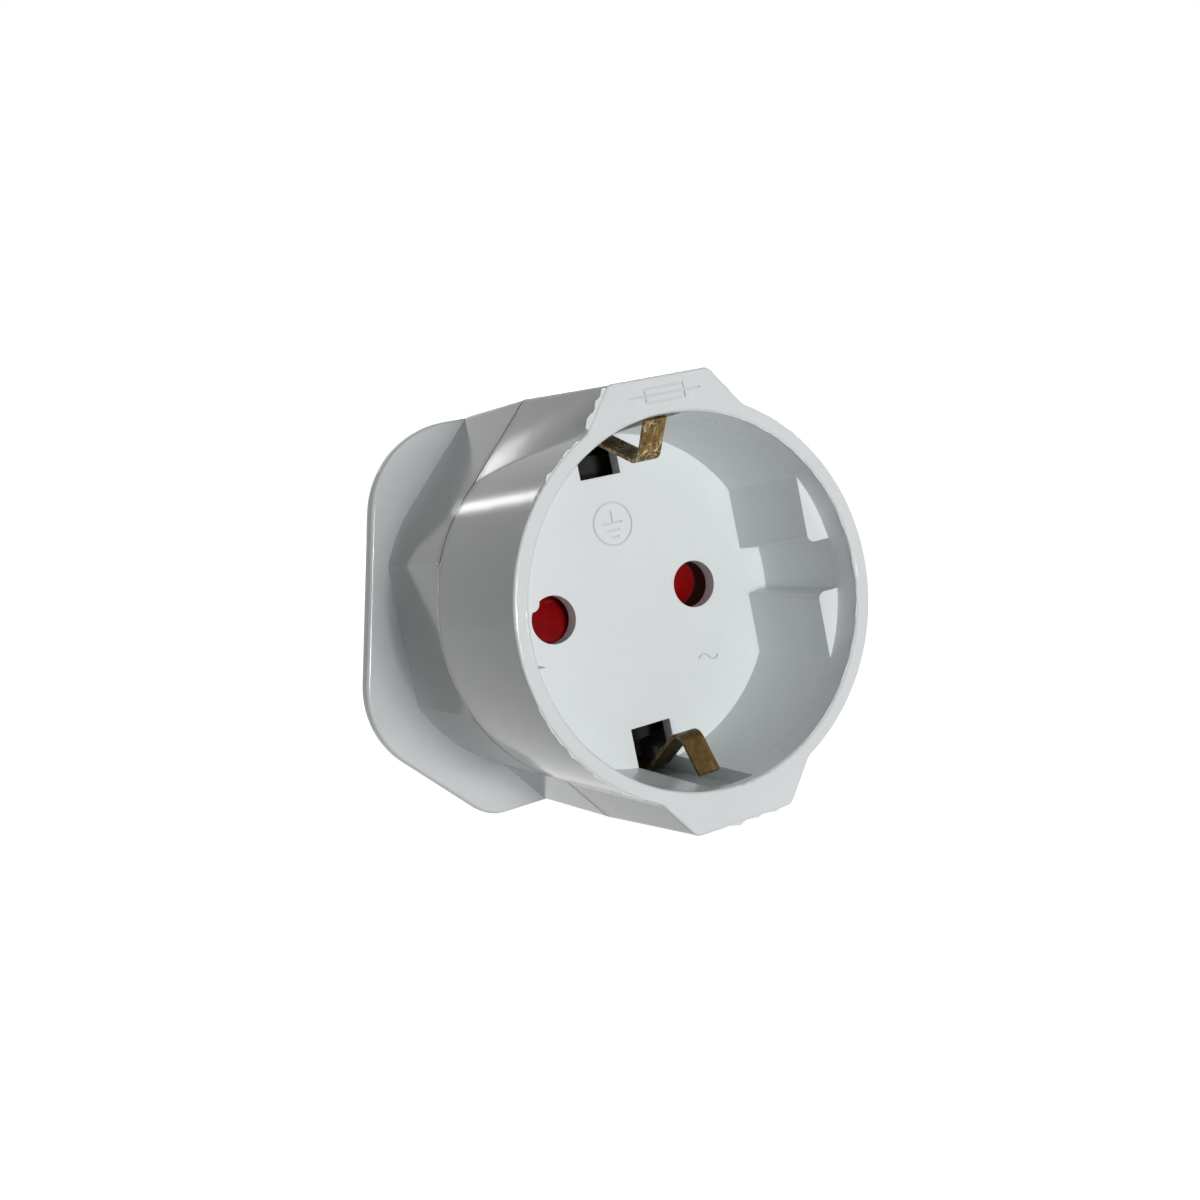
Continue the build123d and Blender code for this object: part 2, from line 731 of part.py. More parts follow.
def earth_clip(touch, end):
    """Upper earth clip: a foot on the strap, a leg through its slot and a sprung hook."""
    foot_y = -strap_depth - strap_thickness - clip_thickness / 2
    slope = (floor_y + clip_slope_start, clip_leg)
    middle = ((foot_y + slope[0]) / 2, clip_leg)
    foot = FilletPolyline((foot_y, clip_foot_inner), (foot_y, clip_leg), middle, radius=clip_foot_bend)
    spring = FilletPolyline(
        middle,
        slope,
        (rim_y + touch[0], clip_leg - touch[1]),
        (rim_y + end[0], clip_leg - end[1]),
        radius=clip_touch_bend,
    )
    strip = trace(foot + spring, clip_thickness)
    clip = extrude(Plane.YZ * strip, amount=clip_width / 2, both=True)
    hole = between(spot(0, clip_rivet_z, Circle(clip_rivet_radius + hole_gap)), foot_y - 2, foot_y + 2)
    return clip - hole


def lower_earth_clip():
    return mirror(earth_clip(lower_clip_touch, lower_clip_end), about=Plane.XY)


def clip_rivet(up):
    """Rivet through a clip's foot and the strap."""
    z = up * clip_rivet_z
    front = -strap_depth - strap_thickness - clip_thickness
    back = -strap_depth
    rivet = between(spot(0, z, Circle(clip_rivet_radius)), front, back)
    head = spot(0, z, Circle(clip_rivet_head))
    rivet += between(head, front - clip_rivet_head_height, front)
    return rivet + between(head, back, back + clip_rivet_head_height)


def case_screw(side):
    x = side * screw_x
    z = screw_height
    seat = -screw_seat
    screw = between(spot(x, z, Circle(screw_radius - screw_bite)), seat - screw_length, seat)
    screw += between(spot(x, z, Circle(screw_head_radius)), seat, seat + screw_head_height)
    slot = spot(x, z, Rectangle(3 * screw_head_radius, screw_slot[0]))
    top = seat + screw_head_height
    return screw - between(slot, top - screw_slot[1], top + 1)


def save(name, solid):
    solid.label = name
    export_step(solid, os.path.join("parts", name + ".step"))


def main():
    os.makedirs("parts", exist_ok=True)
    save("socket_shell", socket_shell())
    save("rear_housing", rear_housing())
    save("shutter", shutter())
    save("shutter_spring", shutter_spring())
    save("contact_carrier", contact_carrier())
    save("live_pin", current_pin(1))
    save("neutral_pin", current_pin(-1))
    save("earth_pin", earth_pin())
    save("live_pin_sleeve", current_pin_sleeve(1))
    save("neutral_pin_sleeve", current_pin_sleeve(-1))
    save("live_contact", pin_contact(1))
    save("neutral_contact", pin_contact(-1))
    save("neutral_bar", neutral_bar())
    save("line_fuse_clip", line_fuse_clip())
    save("load_fuse_clip", load_fuse_clip())
    save("fuse_tube", fuse_tube())
    save("fuse_cap_upper", fuse_cap(1))
    save("fuse_cap_lower", fuse_cap(-1))
    save("fuse_carrier", fuse_carrier())
    save("earth_strap", earth_strap())
    save("upper_earth_clip", earth_clip(upper_clip_touch, upper_clip_end))
    save("lower_earth_clip", lower_earth_clip())
    save("upper_clip_rivet", clip_rivet(1))
    save("lower_clip_rivet", clip_rivet(-1))
    save("case_screw_left", case_screw(-1))
    save("case_screw_right", case_screw(1))


main()
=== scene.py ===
import math

import bmesh
import bpy
from mathutils import Matrix, Vector, noise


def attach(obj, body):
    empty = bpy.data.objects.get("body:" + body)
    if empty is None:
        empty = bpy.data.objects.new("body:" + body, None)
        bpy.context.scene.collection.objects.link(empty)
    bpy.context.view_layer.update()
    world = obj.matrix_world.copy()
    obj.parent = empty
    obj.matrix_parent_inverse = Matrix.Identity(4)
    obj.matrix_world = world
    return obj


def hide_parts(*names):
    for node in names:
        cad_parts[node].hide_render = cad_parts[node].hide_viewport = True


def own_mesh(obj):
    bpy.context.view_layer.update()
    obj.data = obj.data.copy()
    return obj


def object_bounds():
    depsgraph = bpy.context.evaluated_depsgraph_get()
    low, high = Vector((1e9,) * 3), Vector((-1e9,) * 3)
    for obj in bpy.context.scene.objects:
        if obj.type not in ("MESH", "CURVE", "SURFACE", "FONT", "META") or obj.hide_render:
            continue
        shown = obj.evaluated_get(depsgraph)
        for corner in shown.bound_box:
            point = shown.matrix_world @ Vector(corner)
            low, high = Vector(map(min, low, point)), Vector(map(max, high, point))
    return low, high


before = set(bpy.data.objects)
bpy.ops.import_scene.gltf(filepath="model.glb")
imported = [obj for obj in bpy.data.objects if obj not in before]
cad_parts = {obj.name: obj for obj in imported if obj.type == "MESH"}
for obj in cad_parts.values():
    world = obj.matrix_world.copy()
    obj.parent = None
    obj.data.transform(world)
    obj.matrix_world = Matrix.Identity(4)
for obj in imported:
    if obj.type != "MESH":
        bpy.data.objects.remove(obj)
cad_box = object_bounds()

MM = 0.001

# Places on the part in millimetres, with the plug face at y 0 and the rim at y -42
BODY_DEPTH = 42.0
SOCKET_FLOOR = -24.5
SEAM = -20.3
TAB_RIM_HEIGHT = 24.2
BARREL_RADIUS = 21.9
MOUTH_RADIUS = 20.2
SIGN_DEPTH = 0.15
FUSE_SIGN_HEIGHT = 22.3
PIN_HOLE_X = 9.5

# How far the finishes reach, in millimetres
SATIN_RADIUS = 20.6
SATIN_BACK = -22.0
SEAM_INNER_RADIUS = 18.0
DUST_AND_SHADE_BEHIND_SEAM = 0.14
DUST_AND_SHADE_HALF_WIDTH = 0.22
BEAD_BEFORE_SEAM = 0.55
BEAD_BEHIND_SEAM = 0.85
BEAD_HALF_WIDTH = 0.25
FLOOR_SIGN_RADIUS = 16.0
FUSE_SIGN_HALF_WIDTH = 5.0
FUSE_SIGN_HALF_HEIGHT = 1.6
SIGN_LAYER = 0.12
LIP_DEPTH = 0.9
MOUTH_LIP_HALF_WIDTH = 0.45
BARREL_LIP_HALF_WIDTH = 0.35
PIN_WAY_RADIUS = 7.0
RUBBED_ABOVE = 10.0
SHADED_BELOW = -8.0

# The moulding's roughness outside and inside the recess
GLOSS_ROUGHNESS = 0.11
SATIN_ROUGHNESS = 0.32

# The share of a band's half width that its soft edge takes
BAND_EDGE = 0.6

# The shutter's spring: its axis, wire and ends in millimetres, and how finely it is divided
COIL_X = 4.4
COIL_Y = -20.42
COIL_RADIUS = 1.2
COIL_WIRE_RADIUS = 0.22
COIL_WIRE_SIDES = 10
COIL_TURNS = 4
COIL_STEPS_PER_TURN = 24
COIL_LOW = 2.32
COIL_HIGH = 9.48

# Mould flash at the front edges, in millimetres
FLASH_STEP = 0.12
FLASH_ROOT = 0.5
FLASH_FRONT = -BODY_DEPTH + 0.16
FLASH_THICKNESS = 0.16
TAB_CORNER = (-6.5, 23.9)
TAB_FOOT = (-9.6, 20.2)
LOWER_TAB_HALF_WIDTH = 5.4

# The flash's ragged edge: its bumps, and the share of a fin's length that tapers at each end
COARSE_BUMPS_PER_MM = 0.7
FINE_BUMPS_PER_MM = 2.1
FINE_BUMP_SHARE = 0.3
BUMP_LIFT = 0.25
FLASH_TAPER = 0.15

# The floor and the surround: sizes in metres, and levels of which 1 is white
FLOOR_HALF_WIDTH = 6.0
FLOOR_DROP = 0.00002
FLOOR_PALE = 0.6
FLOOR_GLOW = 0.94
SURROUND_LEVEL = 0.11

# A Mix node's sockets for colours
MIX_SHARE = 0
MIX_FIRST = 6
MIX_SECOND = 7
MIX_RESULT = 2


class Socket:
    """A shader socket that takes part in Python sums, also on the right, as in 1 - mask."""

    def __init__(self, tree, link):
        self.tree = tree
        self.link = link

    def maths(self, operation, *values):
        return self.tree.node("ShaderNodeMath", {"operation": operation}, values)[0]

    def __add__(self, other):
        return self.maths("ADD", self, other)

    def __radd__(self, other):
        return self.maths("ADD", other, self)

    def __sub__(self, other):
        return self.maths("SUBTRACT", self, other)

    def __rsub__(self, other):
        return self.maths("SUBTRACT", other, self)

    def __mul__(self, other):
        return self.maths("MULTIPLY", self, other)

    def __rmul__(self, other):
        return self.maths("MULTIPLY", other, self)

    def __truediv__(self, other):
        return self.maths("DIVIDE", self, other)

    def __rtruediv__(self, other):
        return self.maths("DIVIDE", other, self)

    def __lt__(self, other):
        return self.maths("LESS_THAN", self, other)

    def __gt__(self, other):
        return self.maths("GREATER_THAN", self, other)

    def root(self):
        return self.maths("SQRT", self)

    def size(self):
        return self.maths("ABSOLUTE", self)

    def most(self, other):
        return self.maths("MAXIMUM", self, other)


class Outputs:
    """The output sockets of a node, by number or name."""

    def __init__(self, tree, made):
        self.tree = tree
        self.made = made

    def __getitem__(self, key):
        return Socket(self.tree, self.made.outputs[key])


class Tree:
    """The shader nodes of a material or a world."""

    def __init__(self, owner):
        owner.use_nodes = True
        self.nodes = owner.node_tree.nodes
        self.links = owner.node_tree.links

    def node(self, kind, settings=None, inputs=()):
        """Any node: its settings first, then the values or links of its sockets."""
        made = self.nodes.new(kind)
        for name, value in (settings or {}).items():
            setattr(made, name, value)
        pairs = inputs.items() if isinstance(inputs, dict) else enumerate(inputs)
        for key, value in pairs:
            if isinstance(value, Socket):
                self.links.new(value.link, made.inputs[key])
            else:
                made.inputs[key].default_value = value
        return Outputs(self, made)


class Finish(Tree):
    """One material: a Principled shader with its patterns on Object coordinates."""

    def __init__(self, name, **constants):
        self.material = bpy.data.materials.new(name)
        super().__init__(self.material)
        self.shader = self.nodes["Principled BSDF"]
        for socket, value in constants.items():
            self.shader.inputs[socket.replace("_", " ")].default_value = value
        self.place = self.node("ShaderNodeTexCoord")["Object"]
        parts = self.node("ShaderNodeSeparateXYZ", {}, [self.place])
        self.x = parts[0] / MM
        self.y = parts[1] / MM
        self.z = parts[2] / MM

    def noise(self, per_mm, detail=2.0, roughness=0.5, stretch=(1, 1, 1)):
        """Soft noise with about so many bumps per millimetre."""
        mapped = self.node(
            "ShaderNodeMapping", {}, {"Vector": self.place, "Scale": [s / MM for s in stretch]}
        )[0]
        return self.node(
            "ShaderNodeTexNoise",
            {},
            {"Vector": mapped, "Scale": per_mm, "Detail": detail, "Roughness": roughness},
        )[0]

    def ramp(self, value, low, high):
        """0 below low, 1 above high, and a smooth rise between them."""
        return self.node(
            "ShaderNodeMapRange",
            {"interpolation_type": "SMOOTHSTEP"},
            {"Value": value, "From Min": low, "From Max": high, "To Min": 0.0, "To Max": 1.0},
        )[0]

    def band(self, value, middle, half):
        """1 about the middle, falling softly to 0 at a distance of half."""
        return self.ramp(half - (value - middle).size(), 0.0, half * BAND_EDGE)

    def colour(self, share, first, second):
        """The first colour where the share is 0, and the second where it is 1."""
        mixed = self.node(
            "ShaderNodeMix",
            {"data_type": "RGBA"},
            {MIX_SHARE: share, MIX_FIRST: as_colour(first), MIX_SECOND: as_colour(second)},
        )
        return mixed[MIX_RESULT]

    def bump(self, height, strength, distance_mm):
        inputs = {"Height": height, "Strength": strength, "Distance": distance_mm * MM}
        return self.node("ShaderNodeBump", {}, inputs)[0]

    def feed(self, **patterns):
        """Links the patterns to the shader, and gives the finished material."""
        for socket, value in patterns.items():
            self.links.new(value.link, self.shader.inputs[socket.replace("_", " ")])
        return self.material


def as_colour(value):
    return value if isinstance(value, Socket) else (*value, 1.0)


def shaded(colour, keep):
    return [part * keep for part in colour]


# Finishes


def moulded_plastic(name, colour, dull):
    """Glossy moulding: faint flow marks, satin inside the recess, uneven rim, dust and painted
    shade in the seam, painted shade in the sunk signs.
    """
    finish = Finish(name, IOR=1.46, Specular_IOR_Level=0.42)
    radius = (finish.x * finish.x + finish.z * finish.z).root()

    cloud = finish.noise(0.12, detail=3.0, roughness=0.55)
    flow = finish.noise(0.05, roughness=0.6, stretch=(1, 0.35, 1))
    shade = finish.ramp(cloud * 0.6 + flow * 0.4, 0.3, 0.7)
    base = finish.colour(shade, dull, colour)
    specks = finish.ramp(finish.noise(2.6, detail=1.0, roughness=0.4), 0.70, 0.78)
    base = finish.colour(specks * 0.12, base, shaded(colour, 0.6))

    outside = finish.ramp(radius, SEAM_INNER_RADIUS, SEAM_INNER_RADIUS + 0.5)
    # Dust and painted shade: a darker line just behind the seam, as the shade in its groove.
    dust_and_shade = finish.band(finish.y, SEAM + DUST_AND_SHADE_BEHIND_SEAM, DUST_AND_SHADE_HALF_WIDTH) * outside
    base = finish.colour(dust_and_shade * 0.75, base, shaded(dull, 0.25))

    # Painted shade: the floors of the sunk signs are coloured darker, as the shade in them.
    floor_layer = finish.band(finish.y, SOCKET_FLOOR + SIGN_DEPTH, SIGN_LAYER)
    floor_signs = floor_layer * (radius < FLOOR_SIGN_RADIUS)
    tab_layer = finish.band(finish.y, -BODY_DEPTH + SIGN_DEPTH, SIGN_LAYER)
    tab_face = finish.band(finish.z, FUSE_SIGN_HEIGHT, FUSE_SIGN_HALF_HEIGHT)
    tab_face = tab_face * (finish.x.size() < FUSE_SIGN_HALF_WIDTH)
    painted_shade_in_signs = floor_signs.most(tab_layer * tab_face)
    base = finish.colour(painted_shade_in_signs * 0.28, base, shaded(dull, 0.45))

    inside = finish.ramp(SATIN_RADIUS - radius, 0.0, 0.8)
    inside = inside * finish.ramp(SATIN_BACK - finish.y, 0.0, 1.0)
    scuffs = finish.noise(0.9, detail=4.0, roughness=0.7, stretch=(1, 1, 0.25))
    scuffs = finish.ramp(scuffs, 0.52, 0.8)
    satin = SATIN_ROUGHNESS - GLOSS_ROUGHNESS
    rough = GLOSS_ROUGHNESS + inside * satin + scuffs * 0.07

    mouth_lip = finish.band(radius, MOUTH_RADIUS, MOUTH_LIP_HALF_WIDTH)
    barrel_lip = finish.band(radius, BARREL_RADIUS, BARREL_LIP_HALF_WIDTH)
    front = finish.ramp(-BODY_DEPTH + LIP_DEPTH - finish.y, 0.0, 0.5)
    ragged = finish.ramp(finish.noise(1.1, detail=4.0, roughness=0.7), 0.45, 0.6)
    ragged = ragged * mouth_lip.most(barrel_lip) * front
    front_bead = finish.band(finish.y, SEAM - BEAD_BEFORE_SEAM, BEAD_HALF_WIDTH)
    back_bead = finish.band(finish.y, SEAM + BEAD_BEHIND_SEAM, BEAD_HALF_WIDTH)
    beads = front_bead.most(back_bead) * outside
    grain = finish.noise(7.0) * (0.3 + inside * 0.7)
    wave = finish.noise(0.22, detail=1.0, roughness=0.4)
    height = grain * 0.02 + wave * 0.12 + ragged * 0.35 + beads * 0.5
    bump = finish.bump(height, strength=0.35, distance_mm=0.25)
    return finish.feed(Base_Color=base, Roughness=rough, Normal=bump)


def shutter_plastic():
    """Red plastic with a cloudy colour and a fine grain."""
    finish = Finish("shutter_red_plastic", IOR=1.49, Specular_IOR_Level=0.12)
    cloud = finish.ramp(finish.noise(0.5, detail=3.0, roughness=0.6), 0.3, 0.7)
    base = finish.colour(cloud, (0.20, 0.001, 0.002), (0.28, 0.002, 0.003))
    rough = 0.36 + finish.noise(1.2) * 0.12
    bump = finish.bump(finish.noise(6.0), strength=0.25, distance_mm=0.03)
    return finish.feed(Base_Color=base, Roughness=rough, Normal=bump)


def aged_brass(name, bright, dark, worn=0.5, rubbed=None):
    """Sheet brass: tarnish in patches, fine rolling lines and, where rubbed, pale squiggles and
    painted shade lower down.
    """
    finish = Finish(name, Metallic=1.0)
    patches = finish.noise(0.75, detail=5.0, roughness=0.65)
    tarnish = finish.ramp(patches, worn - 0.14, worn + 0.16)
    lines = finish.noise(3.0, detail=3.0, roughness=0.6, stretch=(3.0, 0.25, 0.6))
    base = finish.colour(tarnish, bright, dark)
    base = finish.colour(finish.ramp(lines, 0.45, 0.75) * 0.35, base, shaded(bright, 0.45))
    height = lines * 0.6 + patches * 0.4
    if rubbed is not None:
        squiggle = finish.band(finish.noise(1.3), 0.5, 0.035)
        upper = finish.ramp(finish.z, RUBBED_ABOVE, RUBBED_ABOVE + 2.0)
        patch = finish.ramp(finish.noise(0.35, detail=1.0), 0.38, 0.52) * upper
        streaks = finish.noise(1.6, detail=3.0, roughness=0.6, stretch=(3.0, 0.3, 0.3))
        streaks = finish.ramp(streaks, 0.56, 0.66)
        mark = (squiggle * patch).most(streaks * (upper * 0.3 + 0.08))
        # Painted shade: the brass is darker towards the bottom, as the shade on the lower clip.
        painted_shade_below = finish.ramp(SHADED_BELOW - finish.z, 0.0, 2.0)
        base = finish.colour(painted_shade_below * 0.75, base, shaded(bright, 0.3))
        base = finish.colour(mark * 0.85, base, rubbed)
        height = height + mark * 0.8
    rough = 0.34 + tarnish * 0.18 + lines * 0.12
    bump = finish.bump(height, strength=0.3, distance_mm=0.05)
    return finish.feed(Base_Color=base, Roughness=rough, Normal=bump)


def drawn_brass(name, bright, dark):
    """Solid brass, drawn along the pins: fine long scratches and a few dull patches."""
    finish = Finish(name, Metallic=1.0)
    patches = finish.ramp(finish.noise(0.25, detail=3.0, roughness=0.55), 0.35, 0.75)
    scratches = finish.noise(2.2, detail=3.0, roughness=0.6, stretch=(2.5, 0.06, 2.5))
    base = finish.colour(patches, bright, dark)
    base = finish.colour(finish.ramp(scratches, 0.55, 0.75) * 0.3, base, shaded(bright, 0.5))
    rough = 0.18 + patches * 0.1 + scratches * 0.1
    bump = finish.bump(scratches, strength=0.2, distance_mm=0.03)
    return finish.feed(Base_Color=base, Roughness=rough, Normal=bump)


def plain_metal(name, light, dark, rough=0.28):
    """Plated or bare metal with soft patches and fine lines."""
    finish = Finish(name, Metallic=1.0)
    patches = finish.ramp(finish.noise(0.6, detail=3.0), 0.35, 0.7)
    base = finish.colour(patches, light, dark)
    lines = finish.noise(2.0, roughness=0.6, stretch=(2.0, 0.2, 2.0))
    bump = finish.bump(lines, strength=0.15, distance_mm=0.03)
    return finish.feed(Base_Color=base, Roughness=rough + lines * 0.14, Normal=bump)


def plain_plastic(name, light, dark, rough):
    """Plastic or ceramic with a cloudy colour and a fine grain."""
    finish = Finish(name, IOR=1.49)
    cloud = finish.ramp(finish.noise(0.3, detail=3.0, roughness=0.55), 0.3, 0.7)
    base = finish.colour(cloud, light, dark)
    grain = finish.noise(5.0)
    bump = finish.bump(grain, strength=0.2, distance_mm=0.03)
    return finish.feed(Base_Color=base, Roughness=rough + grain * 0.1, Normal=bump)


def carrier_painted_shade():
    """Near black as painted shade in the pockets, with red painted on the walls of the two ways
    for the pins as the shutter's red light.
    """
    finish = Finish("inner_painted_shade_plastic", IOR=1.49)
    cloud = finish.ramp(finish.noise(0.3, detail=3.0, roughness=0.55), 0.3, 0.7)
    # Painted shade: the carrier is coloured near black, as the shade in its pockets and slots.
    base = finish.colour(cloud, (0.006, 0.005, 0.004), (0.010, 0.009, 0.008))
    aside = finish.x.size() - PIN_HOLE_X
    from_hole = (aside * aside + finish.z * finish.z).root()
    # Painted red light: the walls of the pin ways are coloured red, as the shutter's red light in
    # the holes.
    painted_red_light = finish.ramp(PIN_WAY_RADIUS - from_hole, 0.0, 0.3)
    base = finish.colour(painted_red_light, base, (0.50, 0.15, 0.14))
    grain = finish.noise(5.0)
    bump = finish.bump(grain, strength=0.2, distance_mm=0.03)
    return finish.feed(Base_Color=base, Roughness=0.6 + grain * 0.1, Normal=bump)


BODY = moulded_plastic("body_white_plastic", (0.79, 0.82, 0.83), (0.765, 0.795, 0.80))
CARRIER = moulded_plastic("fuse_carrier_plastic", (0.77, 0.79, 0.79), (0.74, 0.76, 0.76))
INNER_PAINTED_SHADE = carrier_painted_shade()
SHUTTER = shutter_plastic()
SLEEVE = plain_plastic("pin_sleeve_plastic", (0.022, 0.022, 0.022), (0.035, 0.035, 0.036), 0.42)
CLIP_BRASS = aged_brass(
    "earth_clip_brass", (0.26, 0.165, 0.058), (0.105, 0.064, 0.022), rubbed=(0.78, 0.66, 0.42)
)
PIN_BRASS = drawn_brass("pin_brass", (0.72, 0.50, 0.20), (0.55, 0.36, 0.13))
SHEET_BRASS = aged_brass("contact_brass", (0.78, 0.60, 0.30), (0.50, 0.36, 0.16), worn=0.58)
STRAP_BRASS = aged_brass("earth_strap_brass", (0.16, 0.11, 0.05), (0.07, 0.045, 0.02))
CERAMIC = plain_plastic("fuse_ceramic", (0.80, 0.78, 0.72), (0.74, 0.72, 0.66), 0.3)
NICKEL = plain_metal("fuse_cap_nickel", (0.78, 0.76, 0.72), (0.66, 0.64, 0.60), 0.2)
SPRING_WIRE = plain_metal("spring_wire", (0.55, 0.55, 0.56), (0.40, 0.40, 0.42))
SCREW_ZINC = plain_metal("screw_zinc", (0.66, 0.66, 0.66), (0.50, 0.50, 0.51), 0.3)

NODE_FINISHES = {
    "socket_shell": BODY,
    "rear_housing": BODY,
    "fuse_carrier": CARRIER,
    "contact_carrier": INNER_PAINTED_SHADE,
    "shutter": SHUTTER,
    "live_pin_sleeve": SLEEVE,
    "neutral_pin_sleeve": SLEEVE,
    "upper_earth_clip": CLIP_BRASS,
    "lower_earth_clip": CLIP_BRASS,
    "live_pin": PIN_BRASS,
    "neutral_pin": PIN_BRASS,
    "earth_pin": PIN_BRASS,
    "live_contact": SHEET_BRASS,
    "neutral_contact": SHEET_BRASS,
    "neutral_bar": SHEET_BRASS,
    "line_fuse_clip": SHEET_BRASS,
    "load_fuse_clip": SHEET_BRASS,
    "earth_strap": STRAP_BRASS,
    "upper_clip_rivet": SHEET_BRASS,
    "lower_clip_rivet": SHEET_BRASS,
    "fuse_tube": CERAMIC,
    "fuse_cap_upper": NICKEL,
    "fuse_cap_lower": NICKEL,
    "shutter_spring": SPRING_WIRE,
    "case_screw_left": SCREW_ZINC,
    "case_screw_right": SCREW_ZINC,
}

for name, material in NODE_FINISHES.items():
    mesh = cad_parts[name].data
    mesh.materials.clear()
    mesh.materials.append(material)


# New pieces


def new_object(name, work, finish):
    """The object that a shaped bmesh becomes."""
    mesh = bpy.data.meshes.new(name)
    work.to_mesh(mesh)
    work.free()
    mesh.materials.append(finish)
    made = bpy.data.objects.new(name, mesh)
    bpy.context.collection.objects.link(made)
    return made


def shutter_coil(finish):
    """A coil of wire on the housing, shown instead of the shutter spring."""
    work = bmesh.new()
    bmesh.ops.create_circle(work, segments=COIL_WIRE_SIDES, radius=COIL_WIRE_RADIUS * MM)
    start = Vector((COIL_X + COIL_RADIUS, COIL_Y, COIL_LOW)) * MM
    stand = Matrix.Translation(start) @ Matrix.Rotation(math.radians(90), 4, "X")
    bmesh.ops.transform(work, matrix=stand, verts=work.verts)
    steps = COIL_TURNS * COIL_STEPS_PER_TURN
    bmesh.ops.spin(
        work,
        geom=work.verts[:] + work.edges[:],
        cent=Vector((COIL_X, COIL_Y, 0)) * MM,
        axis=(0, 0, 1),
        dvec=(0, 0, (COIL_HIGH - COIL_LOW) / steps * MM),
        angle=math.radians(360) * COIL_TURNS,
        steps=steps,
        use_duplicate=False,
    )
    bmesh.ops.holes_fill(work, edges=[edge for edge in work.edges if edge.is_boundary])
    bmesh.ops.recalc_face_normals(work, faces=work.faces[:])
    coil = new_object("shutter_coil", work, finish)
    along_wire = [len(face.vertices) == 4 for face in coil.data.polygons]
    coil.data.polygons.foreach_set("use_smooth", along_wire)
    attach(coil, "housing")
    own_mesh(coil)
    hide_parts("shutter_spring")


def flash_fin(name, path, length, reach, bumps, finish):
    """A thin ragged fin of mould flash along an edge, in the plane of the front face.

    The path gives, for each share of its length, a place on the edge and the way out of it.
    The length and the reach are in millimetres, and bumps picks a row of the noise.
    """
    work = bmesh.new()
    half = 0.5
    bmesh.ops.create_grid(work, x_segments=int(length / FLASH_STEP), y_segments=1, size=half)
    for vert in work.verts:
        share = vert.co.x + half
        outer = vert.co.y > 0
        edge, out = path(share)
        coarse = noise.noise(Vector((share * length * COARSE_BUMPS_PER_MM, bumps, 0.0)))
        fine = noise.noise(Vector((share * length * FINE_BUMPS_PER_MM, 0.0, bumps)))
        ragged = max(coarse + BUMP_LIFT + fine * FINE_BUMP_SHARE, 0.0)
        ends = min(share, 1.0 - share, FLASH_TAPER) / FLASH_TAPER
        spot = edge + out * (reach * ragged * ends if outer else -FLASH_ROOT)
        vert.co = Vector((spot.x, FLASH_FRONT, spot.y)) * MM
    grown = bmesh.ops.extrude_face_region(work, geom=work.faces[:])["geom"]
    moved = [item for item in grown if isinstance(item, bmesh.types.BMVert)]
    bmesh.ops.translate(work, vec=(0, FLASH_THICKNESS * MM, 0), verts=moved)
    bmesh.ops.recalc_face_normals(work, faces=work.faces[:])
    piece = new_object(name, work, finish)
    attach(piece, "housing")


def straight_edge(start, end):
    """A straight edge in X and Z, with its outside to the left of its run."""
    start, end = Vector(start), Vector(end)
    run = (end - start).normalized()
    out = Vector((-run.y, run.x))
    return lambda share: (start.lerp(end, share), out)


def round_edge(radius, from_degrees, to_degrees, outward=1):
    """A stretch of a round edge about the axis, counted from +X towards +Z."""

    def place(share):
        angle = math.radians(from_degrees + (to_degrees - from_degrees) * share)
        painted_red_light = Vector((math.cos(angle), math.sin(angle)))
        return painted_red_light * radius, painted_red_light * outward

    return place


shutter_coil(SPRING_WIRE)

tab_side = straight_edge(TAB_FOOT, TAB_CORNER)
tab_below = straight_edge(
    (LOWER_TAB_HALF_WIDTH, -TAB_RIM_HEIGHT), (-LOWER_TAB_HALF_WIDTH, -TAB_RIM_HEIGHT)
)
rim_above = round_edge(BARREL_RADIUS, 134, 119)
rim_below = round_edge(BARREL_RADIUS, 196, 238)
mouth_right = round_edge(MOUTH_RADIUS, -60, 70, outward=-1)

flash_fin("tab_flash_left", tab_side, length=5.0, reach=0.9, bumps=3.1, finish=BODY)
flash_fin("tab_flash_below", tab_below, length=10.8, reach=0.30, bumps=7.7, finish=BODY)
flash_fin("rim_flash_upper_left", rim_above, length=5.7, reach=0.4, bumps=1.4, finish=BODY)
flash_fin("rim_flash_lower_left", rim_below, length=16.0, reach=0.22, bumps=5.2, finish=BODY)
flash_fin("mouth_flash_right", mouth_right, length=45.0, reach=0.14, bumps=9.3, finish=BODY)


# Floor, background and light


def seen_white(tree, lit, white, output):
    """Mixes a lit shader with a white one for the rays of the camera, gloss and glass."""
    path = tree.node("ShaderNodeLightPath")
    seen = path["Is Camera Ray"].most(path["Is Glossy Ray"]).most(path["Is Transmission Ray"])
    mixed = tree.node("ShaderNodeMixShader", {}, [seen, lit, white])[0]
    tree.node(output, {}, {"Surface": mixed})


def pale_stage(floor_z):
    """A wide floor, pale for the light and white where the camera, gloss and glass look."""
    work = bmesh.new()
    bmesh.ops.create_grid(work, x_segments=1, y_segments=1, size=FLOOR_HALF_WIDTH)
    bmesh.ops.translate(work, vec=(0, 0, floor_z), verts=work.verts)
    material = bpy.data.materials.new("floor_white")
    tree = Tree(material)
    tree.nodes.clear()
    pale = as_colour((FLOOR_PALE, FLOOR_PALE, FLOOR_PALE))
    lit = tree.node("ShaderNodeBsdfDiffuse", {}, {"Color": pale})[0]
    glow = tree.node("ShaderNodeEmission", {}, {"Strength": FLOOR_GLOW})[0]
    white = tree.node("ShaderNodeAddShader", {}, [lit, glow])[0]
    seen_white(tree, lit, white, "ShaderNodeOutputMaterial")
    new_object("floor", work, material)


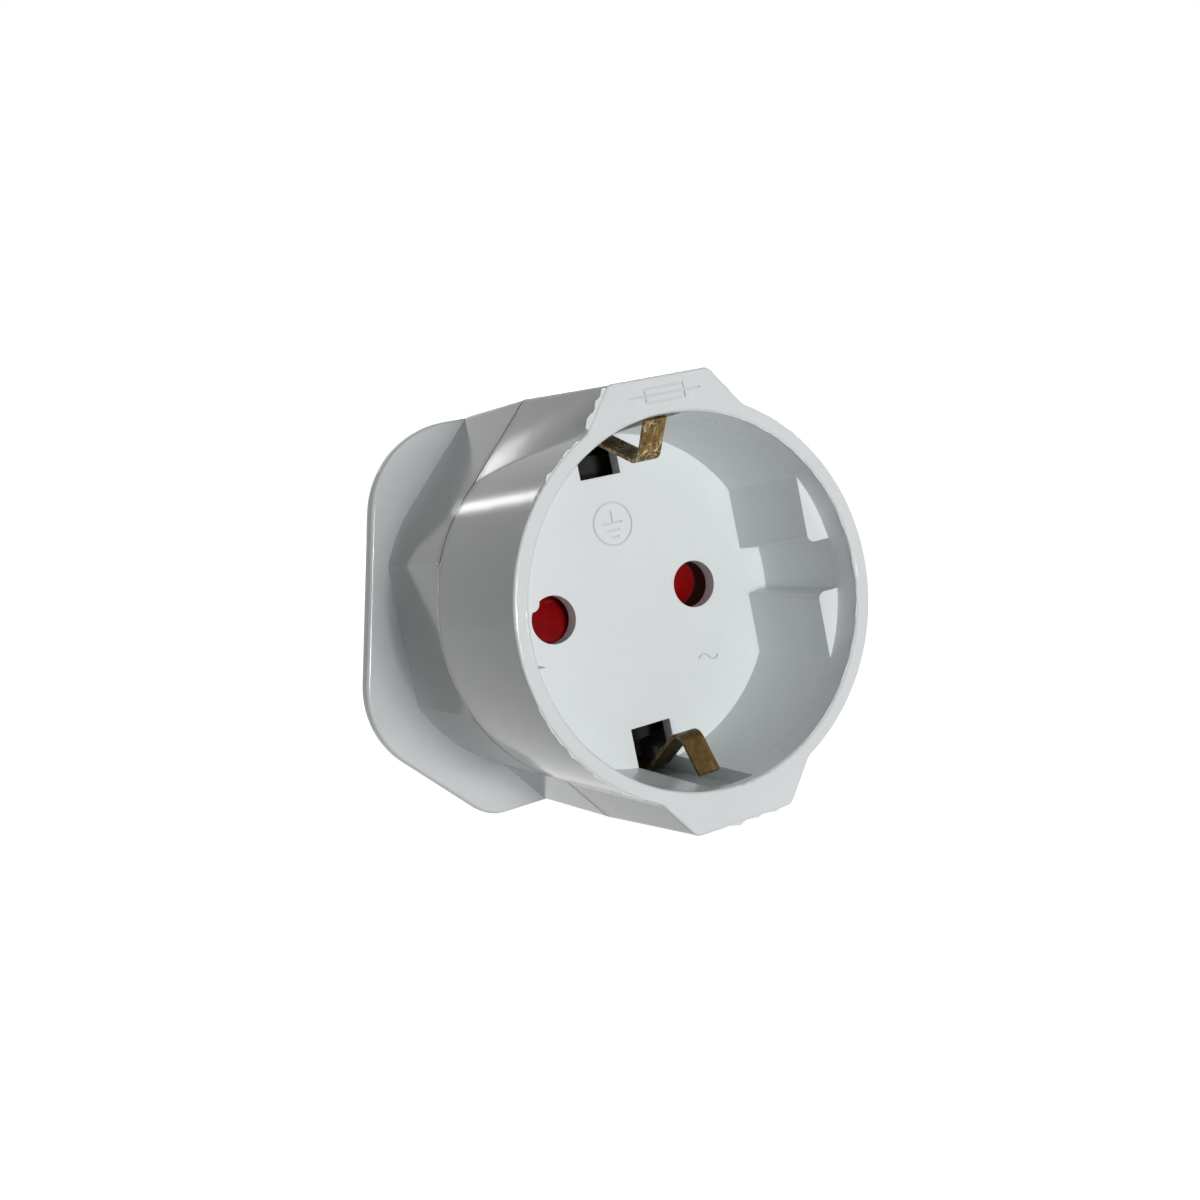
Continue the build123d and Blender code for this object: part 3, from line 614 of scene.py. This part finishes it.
def studio_world(level):
    """An even pale surround for light; white where the camera, gloss and glass look."""
    world = bpy.data.worlds.new("studio")
    bpy.context.scene.world = world
    tree = Tree(world)
    tree.nodes.clear()
    pale = as_colour((1, 1, 1))
    lit = tree.node("ShaderNodeBackground", {}, {"Color": pale, "Strength": level})[0]
    white = tree.node("ShaderNodeBackground", {}, {"Color": pale, "Strength": 1.0})[0]
    seen_white(tree, lit, white, "ShaderNodeOutputWorld")


def softbox(name, place, aim, width, height, power):
    """A rectangular lamp, with its sizes in metres and its power in watts."""
    light = bpy.data.lights.new(name, "AREA")
    light.shape = "RECTANGLE"
    light.size = width
    light.size_y = height
    light.energy = power
    lamp = bpy.data.objects.new(name, light)
    bpy.context.collection.objects.link(lamp)
    lamp.location = place
    lamp.rotation_euler = (Vector(aim) - Vector(place)).to_track_quat("-Z", "Y").to_euler()


def photo_camera():
    """The photograph's viewing angle: place, turn and lens from the fitted sizes."""
    right = Vector((0.868667, -0.454096, -0.198026))
    down = Vector((-0.221347, 0.001843, -0.975193))
    ahead = Vector((0.443197, 0.890951, -0.098912))
    place = Vector((-76.51, -171.77, 17.26)) * MM
    data = bpy.data.cameras.new("camera")
    data.sensor_width = 36.0
    data.lens = 42.81
    data.clip_start = 0.01
    data.clip_end = 20
    camera = bpy.data.objects.new("camera", data)
    bpy.context.collection.objects.link(camera)
    turn = Matrix((right, -down, -ahead)).transposed().to_4x4()
    camera.matrix_world = Matrix.Translation(place) @ turn
    bpy.context.scene.camera = camera


pale_stage(cad_box[0][2] - FLOOR_DROP)
studio_world(SURROUND_LEVEL)
softbox(
    "key", place=(0.0, -1.40, 0.045), aim=(0, -0.02, 0.01), width=0.16, height=0.12, power=3.5
)
softbox(
    "low", place=(-0.01, -0.34, -0.014), aim=(0, -0.04, 0), width=0.10, height=0.018, power=0.43
)
softbox(
    "edge", place=(-0.10, 1.20, 0.56), aim=(-0.02, -0.02, 0), width=0.06, height=0.20, power=0.2
)
softbox("back", place=(1.00, 1.20, 0.45), aim=(0, 0, 0), width=1.0, height=0.8, power=11.0)
photo_camera()

bpy.context.scene.view_settings.view_transform = "Standard"
